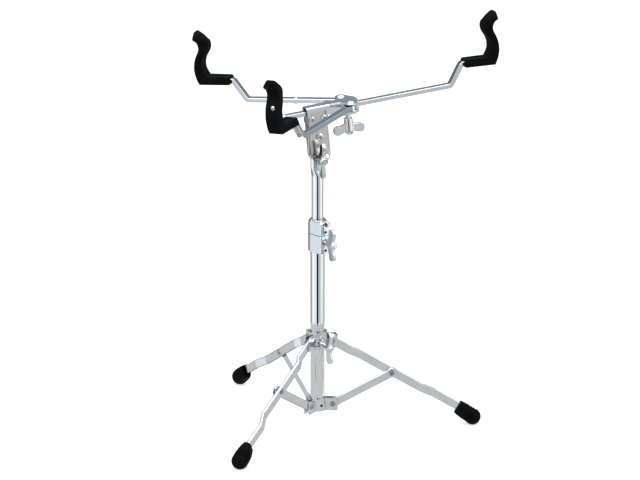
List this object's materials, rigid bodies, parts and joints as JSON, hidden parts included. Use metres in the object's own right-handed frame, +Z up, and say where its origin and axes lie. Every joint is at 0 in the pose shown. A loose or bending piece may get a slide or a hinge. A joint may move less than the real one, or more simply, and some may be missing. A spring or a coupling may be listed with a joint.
{
  "type": "snare drum stand",
  "caption": "Chromed snare drum stand with a flat-folding tripod, telescoping tube, tilter and a three-arm basket with rubber cradles.",
  "frame": {"origin": "on the floor, on the axis of the lower tube", "axes": "+Z up along the tubes, +X horizontally along leg C"},
  "size_m": [0.4058, 0.379, 0.5455],
  "materials": {
    "chrome_tube": "mirror-polished chrome plate",
    "chrome_sheet": "bright chrome plate on pressed sheet",
    "chrome_cast": "chrome plate on die castings",
    "nickel": "warm nickel plate",
    "rivet_steel": "plain steel rivets, worn bright",
    "pin_steel": "dark steel",
    "rubber": "moulded black rubber",
    "nylon": "natural nylon"
  },
  "bodies": {
    "base": {"base_tube": "chrome_tube", "bottom_bracket": "chrome_sheet", "bracket_pins": "rivet_steel", "bracket_lock_pin": "pin_steel", "clamp_body": "chrome_cast", "clamp_bush": "nylon", "clamp_pin": "pin_steel"},
    "leg_collar": {"leg_collar": "chrome_sheet", "collar_pins": "rivet_steel"},
    "collar_wing_bolt": {"collar_wing_bolt": "chrome_cast"},
    "clamp_wing_bolt": {"clamp_wing_bolt": "chrome_cast"},
    "memory_lock": {"memory_lock": "chrome_cast", "memory_pin": "pin_steel"},
    "memory_key_bolt": {"memory_key_bolt": "nickel"},
    "upper_tube": {"upper_tube": "chrome_tube", "tilt_bolt": "nickel"},
    "tilt_wing_nut": {"tilt_wing_nut": "chrome_cast"},
    "basket": {"slide_housing": "chrome_sheet", "tilter_block": "nickel", "tilter_plate_front": "nickel", "tilter_plate_rear": "nickel", "tilter_screws": "nickel", "tilter_nuts": "nickel", "pivot_screw": "nickel", "arm_rivets": "chrome_cast"},
    "slide_wing_bolt": {"slide_wing_bolt": "chrome_cast"},
    "slide_arm": {"arm_slide": "chrome_sheet", "slide_stop_rivet": "nickel", "cradle_slide": "rubber", "cradle_screw_slide": "nickel"},
    "left_arm": {"arm_left": "chrome_sheet", "arm_left_rivet": "nickel", "cradle_left": "rubber", "cradle_screw_left": "nickel"},
    "front_arm": {"arm_front": "chrome_sheet", "cradle_front_rubber": "rubber", "cradle_screw_front": "nickel"},
    "leg_a": {"leg_a": "chrome_sheet", "foot_a": "rubber", "leg_rivet_a": "rivet_steel"},
    "brace_a": {"brace_a": "chrome_sheet", "brace_rivet_a": "rivet_steel"},
    "leg_b": {"leg_b": "chrome_sheet", "foot_b": "rubber", "leg_rivet_b": "rivet_steel"},
    "brace_b": {"brace_b": "chrome_sheet", "brace_rivet_b": "rivet_steel"},
    "leg_c": {"leg_c": "chrome_sheet", "foot_c": "rubber", "leg_rivet_c": "rivet_steel"},
    "brace_c": {"brace_c": "chrome_sheet", "brace_rivet_c": "rivet_steel"}
  },
  "joints": [
    {"name": "collar_slide", "type": "slide", "parent": "base", "child": "leg_collar", "axis": [0, 0, 1], "range_m": [0, 0.08593]},
    {"name": "leg_a_hinge", "type": "hinge", "parent": "leg_collar", "child": "leg_a", "pos_m": [-0.01015, 0.01758, 0.118], "axis": [-0.866, -0.5, 0], "range_deg": [0, 45.9]},
    {"name": "brace_a_hinge", "type": "hinge", "parent": "base", "child": "brace_a", "pos_m": [-0.01015, 0.01758, 0.0308], "axis": [0.866, 0.5, 0], "range_deg": [0, 45.9]},
    {"name": "leg_b_hinge", "type": "hinge", "parent": "leg_collar", "child": "leg_b", "pos_m": [-0.01015, -0.01758, 0.118], "axis": [0.866, -0.5, 0], "range_deg": [0, 45.9]},
    {"name": "brace_b_hinge", "type": "hinge", "parent": "base", "child": "brace_b", "pos_m": [-0.01015, -0.01758, 0.0308], "axis": [-0.866, 0.5, 0], "range_deg": [0, 45.9]},
    {"name": "leg_c_hinge", "type": "hinge", "parent": "leg_collar", "child": "leg_c", "pos_m": [0.0203, 0, 0.118], "axis": [0, 1, 0], "range_deg": [0, 45.9]},
    {"name": "brace_c_hinge", "type": "hinge", "parent": "base", "child": "brace_c", "pos_m": [0.0203, 0, 0.0308], "axis": [0, -1, 0], "range_deg": [0, 45.9]},
    {"name": "collar_bolt_turn", "type": "hinge", "parent": "leg_collar", "child": "collar_wing_bolt", "pos_m": [0, 0, 0.1165], "axis": [0.5, -0.866, 0], "range_deg": [0, 450]},
    {"name": "clamp_bolt_turn", "type": "hinge", "parent": "base", "child": "clamp_wing_bolt", "pos_m": [0, 0, 0.2575], "axis": [0.5736, -0.8192, 0], "range_deg": [0, 450]},
    {"name": "basket_swivel", "type": "hinge", "parent": "base", "child": "memory_lock", "pos_m": [0, 0, 0.2775], "axis": [0, 0, 1], "continuous": true},
    {"name": "key_bolt_turn", "type": "hinge", "parent": "memory_lock", "child": "memory_key_bolt", "pos_m": [0, 0, 0.2832], "axis": [0.5736, -0.8192, 0], "range_deg": [0, 450]},
    {"name": "height_slide", "type": "slide", "parent": "memory_lock", "child": "upper_tube", "axis": [0, 0, 1], "range_m": [-0.052, 0.095]},
    {"name": "tilt_nut_turn", "type": "hinge", "parent": "upper_tube", "child": "tilt_wing_nut", "pos_m": [0, 0, 0.3686], "axis": [0.4019, -0.9157, 0], "range_deg": [0, 450]},
    {"name": "basket_tilt", "type": "hinge", "parent": "upper_tube", "child": "basket", "pos_m": [0, 0, 0.3981], "axis": [0.4019, -0.9157, 0], "range_deg": [-20.4, 9.6]},
    {"name": "slide_bolt_turn", "type": "hinge", "parent": "basket", "child": "slide_wing_bolt", "pos_m": [0.0397, 0.01743, 0.41224], "axis": [0.0862, 0.0378, -0.9956], "range_deg": [0, 450]},
    {"name": "slide_arm_slide", "type": "slide", "parent": "basket", "child": "slide_arm", "axis": [0.9116, 0.4002, 0.0941], "range_m": [-0.07, 0.025]},
    {"name": "left_arm_fold", "type": "hinge", "parent": "basket", "child": "left_arm", "pos_m": [0.02924, 0.03206, 0.43761], "axis": [-0.0862, -0.0378, 0.9956], "range_deg": [-20, 40]},
    {"name": "front_arm_fold", "type": "hinge", "parent": "basket", "child": "front_arm", "pos_m": [0.04339, -0.00017, 0.43761], "axis": [0.0862, 0.0378, -0.9956], "range_deg": [-20, 40]}
  ],
  "couplings": [
    {"joint": "leg_a_hinge", "follows": "collar_slide", "rad_per_m": 9.3202},
    {"joint": "brace_a_hinge", "follows": "collar_slide", "rad_per_m": 9.3202},
    {"joint": "leg_b_hinge", "follows": "collar_slide", "rad_per_m": 9.3202},
    {"joint": "brace_b_hinge", "follows": "collar_slide", "rad_per_m": 9.3202},
    {"joint": "leg_c_hinge", "follows": "collar_slide", "rad_per_m": 9.3202},
    {"joint": "brace_c_hinge", "follows": "collar_slide", "rad_per_m": 9.3202}
  ]
}
